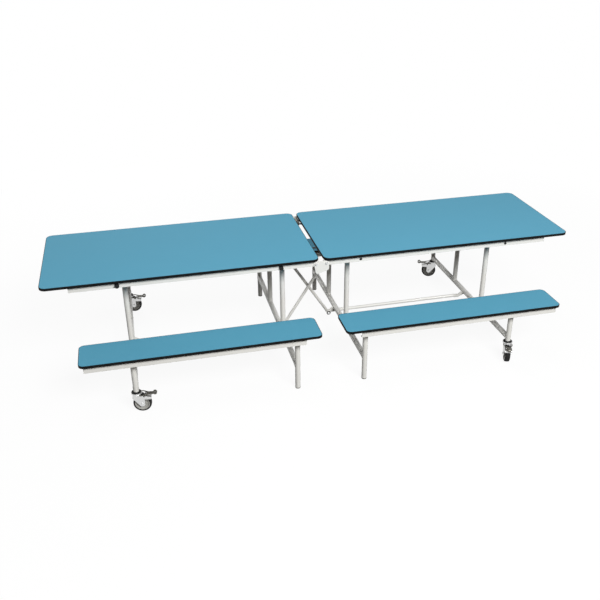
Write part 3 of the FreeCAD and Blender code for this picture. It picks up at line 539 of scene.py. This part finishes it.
def shaft_cap_pair(node):
    """A deep black cap with a stepped collar on the shaft's long end, a domed button on its spigot."""
    low, high = (Vector(point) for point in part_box(node))
    heart = (low + high) / 2
    radius = (high.z - low.z) / 2 / MM
    deep_side = 1 if high.y > -low.y else -1
    button_height = 3
    deep = min(high.y, -low.y) - button_height * MM
    reach = (max(high.y, -low.y) - deep) / MM
    shell = bmesh.new()
    collar = [(0, 0), (radius, 0), (radius, 3.5), (radius - 1, 4.5), (radius - 1.2, reach),
              (radius - 4, reach), (radius - 4.6, reach - 0.8), (0, reach - 0.8)]
    turned(shell, eased(collar, 1.2), Vector((heart.x, deep_side * deep, heart.z)), Vector((0, deep_side, 0)))
    button = [(0, 0), (radius - 5, 0), (radius - 5, 1.6), (radius - 7, 2.9),
              (0, button_height)]
    turned(shell, eased(button, 0.6), Vector((heart.x, -deep_side * deep, heart.z)),
           Vector((0, -deep_side, 0)), sides=32)
    fit_piece(node + "_moulded", as_mesh(node + "_moulded", shell, NYLON), node)


def glide_feet(node):
    """Two glides: a rounded foot with a shadow groove under the tube, and the plug inside it."""
    low, high = (Vector(point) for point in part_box(node))
    radius = (high.x - low.x) / 2 / MM
    shell = bmesh.new()
    foot = [(0, 0), (radius - 0.8, 0), (radius, 5.6), (radius - 0.8, 6.2), (radius - 0.8, 7),
            (radius - 2, 7), (radius - 2, 22), (0, 22)]
    for across in (low.y + radius * MM, high.y - radius * MM):
        turned(shell, eased(foot, 0.8), Vector(((low.x + high.x) / 2, across, 0)), Vector((0, 0, 1)))
    fit_piece(node + "_moulded", as_mesh(node + "_moulded", shell, GLIDE), node)


def rubber_stop(node):
    """A bump stop: a moulded flange on the board's edge and a domed nose towards the other top."""
    low, high = (Vector(point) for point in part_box(node))
    points_left = node.endswith("right")
    base = high.x if points_left else low.x
    axis = Vector((-1 if points_left else 1, 0, 0))
    radius = (high.y - low.y) / 2 / MM
    reach = (high.x - low.x) / MM
    outline = [(0, 0), (radius, 0), (radius, 2), (radius - 2, 3), (radius - 2.6, reach - 2),
               (radius - 4.5, reach), (0, reach)]
    shell = bmesh.new()
    turned(shell, eased(outline, 1.0), Vector((base, (low.y + high.y) / 2, (low.z + high.z) / 2)), axis,
           sides=32)
    fit_piece(node + "_moulded", as_mesh(node + "_moulded", shell, RUBBER), node)


# ------------------------------------------------------------------ casters

def caster_collars(node):
    """The fixed half of the swivel: a black dust cap with a rolled lip, over each caster's races."""
    low, high = (Vector(point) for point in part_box(node))
    radius = (high.x - low.x) / 2 / MM
    shell = bmesh.new()
    cap = [(0, 0), (radius, 0), (radius, 2.6), (radius - 2.5, 4.4), (radius - 8.5, 6), (13, 6), (13, 40),
           (0, 40)]
    for across in (low.y + radius * MM, high.y - radius * MM):
        turned(shell, eased(cap, 0.8), Vector(((low.x + high.x) / 2, across, low.z)), Vector((0, 0, 1)))
    fit_piece(node + "_moulded", as_mesh(node + "_moulded", shell, NYLON), node)


def caster_tyre(corner):
    """The tread: softly crowned, with a bead where it meets the core."""
    axle = pivot("spin_" + corner)
    outline = [(40, -15), (42, -15), (45.5, -14.4), (48.4, -12.6), (49.7, -8), (50, 0), (49.7, 8),
               (48.4, 12.6), (45.5, 14.4), (42, 15), (40, 15)]
    shell = bmesh.new()
    turned(shell, eased(outline, 1.2, steps=3), axle, joint_axis("spin_" + corner), sides=96)
    fit_piece("tyre_%s_crowned" % corner, as_mesh("tyre_%s_crowned" % corner, shell, TYRE), "tyre_" + corner)


def caster_core(corner):
    """The moulded core: hub, dished web with two raised rings, and the rim under the tread."""
    one_face = [(4.3, 17.5), (8, 17.5), (8.6, 16.6), (11, 16.4), (12.4, 8), (15, 4.6), (19, 4.2), (19.8, 5.6),
                (22.2, 5.6), (23, 4.2), (28, 4.4), (28.8, 6.2), (31, 6.4), (33.6, 11), (34.6, 13), (40, 13)]
    other_face = [(radius, -along) for radius, along in reversed(one_face)]
    shell = bmesh.new()
    turned(shell, eased(one_face, 0.5, steps=2) + eased(other_face, 0.5, steps=2), pivot("spin_" + corner),
           joint_axis("spin_" + corner), sides=80)
    name = "wheel_core_%s_dished" % corner
    fit_piece(name, as_mesh(name, shell, CORE), "wheel_core_" + corner)


def swivel_races(corner):
    """The two rows of hardened balls that show as a bright stepped ring under the dust cap."""
    stem = pivot("swivel_" + corner)
    outline = [(14, 0.5), (28.6, 0.5), (28.6, 3), (27.2, 4.2), (27.2, 5.4), (26, 6.2), (26, 8.9), (14, 8.9)]
    shell = bmesh.new()
    turned(shell, eased(outline, 0.5, steps=2), stem, Vector((0, 0, 1)), sides=64)
    name = "swivel_race_" + corner
    fit_piece(name, as_mesh(name, shell, ZINC), "fork_" + corner, replaces=False)


def axle_bolts(corner):
    """A hexagonal bolt head on each cheek of the fork, over a washer."""
    axle, axis = pivot("spin_" + corner), joint_axis("spin_" + corner)
    cheek_face = 21 * MM
    for side, word in ((1, "near"), (-1, "far")):
        heads("axle_bolt_%s_%s" % (word, corner), "fork_" + corner, [axle + axis * side * cheek_face],
              axis * side, head=6.6, height=4.0, washer=8.0)


def caster(corner):
    """One braked caster: its plates, its wheel, its races and its axle bolts."""
    fit_softened("fork_" + corner, 0.7)
    fit_softened("brake_pedal_" + corner, 0.6)
    caster_tyre(corner)
    caster_core(corner)
    swivel_races(corner)
    axle_bolts(corner)


# ------------------------------------------------------------------ welds, bolts and screws

def saddle(at, across):
    """Where an upright stands on the cross tube."""
    points = []
    for step in range(SEAM_STEPS + 1):
        turn = 2 * math.pi * step / SEAM_STEPS
        x, y = TUBE / 2 * math.cos(turn), TUBE / 2 * math.sin(turn)
        z = math.sqrt((CROSS_TUBE / 2) ** 2 - x * x)
        points.append(Vector((at + x, across + y, CROSS_HEIGHT + z)) * MM)
    return points


def butt(at, leg):
    """Where the cross tube's end runs into a leg, which is a little thinner."""
    inward = -1 if leg > 0 else 1
    clear = 0.6
    flank = TUBE / 2 - clear
    points = []
    for step in range(SEAM_STEPS + 1):
        turn = 2 * math.pi * step / SEAM_STEPS
        x = max(-flank, min(flank, CROSS_TUBE / 2 * math.cos(turn)))
        z = CROSS_TUBE / 2 * math.sin(turn)
        depth = math.sqrt((TUBE / 2) ** 2 - x * x)
        points.append(Vector((at + x, leg + inward * depth, CROSS_HEIGHT + z)) * MM)
    return points


def knuckle_seams(heart, outboard):
    """Where a bent tube's end wraps the bearing knuckle, on both sides."""
    steps = 24
    seams = []
    for side in (1, -1):
        points = []
        for step in range(steps + 1):
            turn = math.pi * step / steps
            off = KNUCKLE / 2 * math.cos(turn)
            back = -KNUCKLE / 2 * math.sin(turn)
            depth = math.sqrt((TUBE / 2) ** 2 - off * off)
            x = back * math.sin(LEAN) + off * math.cos(LEAN)
            z = back * math.cos(LEAN) - off * math.sin(LEAN)
            points.append(heart + Vector((outboard * x, side * depth, z)) * MM)
        seams.append(points)
    return seams


def frame_welds(node, joint):
    """All weld beads of one leg frame."""
    top = pivot(joint)
    outboard = 1 if top.x > 0 else -1
    setback = 35
    at = top.x / MM - outboard * setback
    seams = []
    for sign in (1, -1):
        seams.append(saddle(at, sign * UPRIGHT_SPREAD))
        seams.append(butt(at, sign * LEG_SPREAD))
        seams += knuckle_seams(Vector((top.x, sign * UPRIGHT_SPREAD * MM, top.z)), outboard)
        seat = pivot("bench_front_%s_pivot" % ("right" if outboard > 0 else "left"))
        seams += knuckle_seams(Vector((top.x, sign * LEG_SPREAD * MM, seat.z)), outboard)
    points, edges = [], []
    for seam in seams:
        first = len(points)
        points += seam
        edges += [(first + step, first + step + 1) for step in range(len(seam) - 1)]
    mesh = grown(node + "_welds", WELD_TREE, points, edges, Pitch=1.5 * MM, Bead=2.1 * MM, Material=CREAM)
    fit_piece(node + "_welds", outward(mesh, math.radians(80)), node, replaces=False)


def rail_screws(rails, spacing):
    """Screws up through both rails' top flanges into the board, at an even spacing."""
    low, high = (Vector(point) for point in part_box(rails))
    count = round((high.x - low.x) / (spacing * MM))
    inset = 12 * MM
    margin = 40 * MM
    height = high.z - RAIL_GAUGE * MM
    points = []
    for step in range(count + 1):
        x = low.x + margin + (high.x - low.x - 2 * margin) * step / count
        points += [(x, low.y + inset, height), (x, high.y - inset, height)]
    heads(rails + "_screws", rails, points, (0, 0, -1), head=3.6, height=2.6, washer=4.8,
          corners=18)


def tie_pin_nuts(side, outboard):
    """Lock nuts on the pins that carry a tie bar's flattened eyes."""
    low, high = (Vector(point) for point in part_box("tie_bar_" + side))
    outer = pivot("tie_bar_%s_pivot" % side)
    inner_x = low.x + EYE_RADIUS * MM if outboard > 0 else high.x - EYE_RADIUS * MM
    face = low.y + EYE_GAUGE * MM if outboard > 0 else high.y - EYE_GAUGE * MM
    for word, x in (("outer", outer.x), ("inner", inner_x)):
        heads("tie_pin_nut_%s_%s" % (word, side), "%s_frame_%s" % (word, side), [(x, face, outer.z)],
              (0, outboard, 0), head=6.6, height=4.5, washer=8.5)


def washer_ring(name, node, centre, axis, radius, height):
    """A thick moulded washer with eased edges, on one body."""
    shell = bmesh.new()
    outline = [(0, 0), (radius, 0), (radius, height), (0, height)]
    turned(shell, eased(outline, 0.6, steps=3), centre, axis, sides=40)
    fit_piece(name, as_mesh(name, shell, NYLON), node, replaces=False)


def link_fittings(row, side, outboard):
    """The bolts at a link's two ends: a black bush and a hexagon at the foot, riveted heads on the
    bracket's pin."""
    link, bracket = "link_" + row, "link_bracket_" + side
    low, high = (Vector(point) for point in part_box(link))
    level = low.z + EYE_RADIUS * MM
    foot_x = low.x + EYE_RADIUS * MM if outboard > 0 else high.x - EYE_RADIUS * MM
    inward = Vector((0, outboard, 0))
    across = (low.y + high.y) / 2
    foot = Vector((foot_x, across, level)) + inward * EYE_GAUGE / 2 * MM
    bush = 2.4
    washer_ring(link + "_foot_bush", link, foot, inward, radius=13, height=bush)
    heads(link + "_foot_bolt", link, [foot + inward * bush * MM], inward, head=7.4, height=4.6, washer=8.6)
    top = pivot("link_%s_pivot" % row)
    box_low, box_high = (Vector(point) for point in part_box(bracket))
    sole_flange = 22 * MM
    cheek_half = (box_high.y - box_low.y) / 2 - sole_flange
    for facing, word in ((1, "rear"), (-1, "front")):
        heads("%s_pin_head_%s" % (bracket, word), bracket, [(top.x, top.y + facing * cheek_half, top.z)],
              (0, facing, 0), head=6.4, height=5.0, washer=8.0, corners=20)


def link_bracket_screws(side):
    """Screws through the bracket's sole into the board."""
    node = "link_bracket_" + side
    low, high = (Vector(point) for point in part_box(node))
    plate = 3 * MM
    inset_x, inset_y = 19 * MM, 9 * MM
    corners = [(x, y, high.z - plate) for x in (low.x + inset_x, high.x - inset_x)
               for y in (low.y + inset_y, high.y - inset_y)]
    heads(node + "_screws", node, corners, (0, 0, -1), head=3.8, height=2.8, washer=5.2,
          corners=18)


def seat(row, side):
    """One bench's edging, rails and screws."""
    bench = "bench_%s_%s" % (row, side)
    board_edging(bench, SEAT_CORNER)
    rail_screws(bench + "_rails", 230)
    fit_softened(bench + "_rails", 0.7)


def leg_frame(which, side, joint):
    """The caps and welds of one inner or outer leg frame."""
    shaft_cap_pair("shaft_caps_%s_%s" % (which, side))
    frame_welds("%s_frame_%s" % (which, side), joint)


def centre():
    """The two plates and the four bolts that join the tops."""
    for plate in ("centre_plate_front", "centre_plate_rear"):
        fit_softened(plate, 0.8)
    fit_softened("centre_bolts", 0.7)


def half(side, outboard, link_row, outer_joint):
    """One half of the table, from its top down to its casters."""
    board_edging("top_" + side, TOP_CORNER)
    fit_softened("top_rails_" + side, 0.7)
    rail_screws("top_rails_" + side, 190)
    rubber_stop("buffer_" + side)
    fit_softened("link_bracket_" + side, 0.6)
    link_bracket_screws(side)
    fit_softened("link_" + link_row, 0.8)
    link_fittings(link_row, side, outboard)
    fit_softened("tie_bar_" + side, 0.8)
    tie_pin_nuts(side, outboard)
    leg_frame("inner", side, "inner_frame_%s_pivot" % side)
    leg_frame("outer", side, outer_joint)
    glide_feet("glides_" + side)
    caster_collars("caster_stems_" + side)
    for row in ("front", "rear"):
        seat(row, side)
        caster("%s_%s" % (row, side))


# ------------------------------------------------------------------ stage, light and camera

def stage_material():
    """A pale floor that keeps a soft shadow under the table and fades to plain white around it."""
    material, tree, shader = new_material("Pale_stage")
    rays = add(tree, "ShaderNodeLightPath")
    seen = add(tree, "ShaderNodeMath",
               [(0, rays.outputs["Is Camera Ray"]), (1, rays.outputs["Is Glossy Ray"])], operation="MAXIMUM")
    tone = add(tree, "ShaderNodeMix", [(0, seen.outputs[0]), (6, srgb("#3A372D")), (7, srgb("#FBFBFA"))],
               data_type="RGBA")
    tree.links.new(tone.outputs[2], shader.inputs["Base Color"])
    shader.inputs["Roughness"].default_value = 0.9
    shader.inputs["Specular IOR Level"].default_value = 0.1
    white = add(tree, "ShaderNodeEmission", Color=srgb("#FFFFFF"), Strength=1.0)
    place = add(tree, "ShaderNodeTexCoord")
    distance = add(tree, "ShaderNodeVectorMath", [(0, place.outputs["Object"])], operation="LENGTH")
    fade = add(tree, "ShaderNodeMapRange", [("Value", distance.outputs["Value"])],
               From_Min=1.8, From_Max=4.0, To_Min=0.93, To_Max=1.0)
    share = add(tree, "ShaderNodeMath", [(0, seen.outputs[0]), (1, fade.outputs["Result"])],
                operation="MULTIPLY")
    blend = add(tree, "ShaderNodeMixShader", [(0, share.outputs[0]), (1, shader.outputs[0]),
                                              (2, white.outputs[0])])
    tree.links.new(blend.outputs[0], tree.nodes["Material Output"].inputs["Surface"])
    return material


def floor(half_width):
    """A square floor, its half width in metres."""
    mesh = bpy.data.meshes.new("Floor")
    corners = [(-half_width, -half_width, 0), (half_width, -half_width, 0),
               (half_width, half_width, 0), (-half_width, half_width, 0)]
    mesh.from_pydata(corners, [], [(0, 1, 2, 3)])
    plane = bpy.data.objects.new("Floor", mesh)
    bpy.context.scene.collection.objects.link(plane)
    mesh.materials.append(stage_material())


def world(strength):
    """An even pale room: white where the camera or a reflection looks at it."""
    scene_world = bpy.data.worlds.new("Pale_room")
    bpy.context.scene.world = scene_world
    scene_world.use_nodes = True
    tree = scene_world.node_tree
    background = tree.nodes["Background"]
    background.inputs["Color"].default_value = srgb("#FFFFFF")
    rays = add(tree, "ShaderNodeLightPath")
    seen = add(tree, "ShaderNodeMath",
               [(0, rays.outputs["Is Camera Ray"]), (1, rays.outputs["Is Glossy Ray"])], operation="MAXIMUM")
    level = add(tree, "ShaderNodeMapRange", [("Value", seen.outputs[0])], To_Min=strength, To_Max=1.0)
    tree.links.new(level.outputs["Result"], background.inputs["Strength"])


def soft_lamp(name, place, aim, size, power, glare=True):
    """A soft box, size wide and high in metres, that faces the point aimed at.  Without glare it
    fills the shade but isn't mirrored in the laminate."""
    lamp = bpy.data.lights.new(name, "AREA")
    lamp.shape = "RECTANGLE"
    lamp.size, lamp.size_y = size
    lamp.energy = power
    holder = bpy.data.objects.new(name, lamp)
    bpy.context.scene.collection.objects.link(holder)
    holder.location = place
    holder.visible_glossy = glare
    holder.rotation_euler = (Vector(aim) - Vector(place)).to_track_quat("-Z", "Y").to_euler()


def camera():
    """A camera at a standing person's eye, left of the table's middle."""
    place = Vector((-0.980, -4.047, 2.440))
    yaw, pitch, roll = 0.2271, 0.4863, -0.0100
    focal_pixels, frame_pixels, sensor = 748.8, 600, 36.0
    ahead = Vector((math.sin(yaw) * math.cos(pitch), math.cos(yaw) * math.cos(pitch), -math.sin(pitch)))
    level = Vector((math.cos(yaw), -math.sin(yaw), 0))
    upright = level.cross(ahead)
    right = math.cos(roll) * level + math.sin(roll) * upright
    up = math.cos(roll) * upright - math.sin(roll) * level
    lens = bpy.data.cameras.new("Camera")
    lens.sensor_width = sensor
    lens.lens = focal_pixels * sensor / frame_pixels
    holder = bpy.data.objects.new("Camera", lens)
    bpy.context.scene.collection.objects.link(holder)
    turn = Matrix((right, up, -ahead)).transposed().to_4x4()
    holder.matrix_world = Matrix.Translation(place) @ turn
    bpy.context.scene.camera = holder


def light_the_stage():
    """A front box lights the frames, a high one the tops, and a low fill the faces at the back."""
    floor(40)
    world(0.03)
    middle = (0, 0, 0.45)
    soft_lamp("Front_soft_box", (1.0, -4.9, 4.4), middle, (3.0, 2.0), 425)
    soft_lamp("Back_soft_box", (-1.2, 5.8, 2.4), middle, (4.0, 2.0), 190, glare=False)
    soft_lamp("Overhead_soft_box", (-0.8, 0, 8.0), middle, (5.0, 3.5), 110)


dress_cad_nodes()
centre()
half("left", -1, "rear", "fold")
half("right", 1, "front", "outer_frame_right_pivot")
light_the_stage()
camera()
bpy.context.scene.view_settings.view_transform = "Standard"
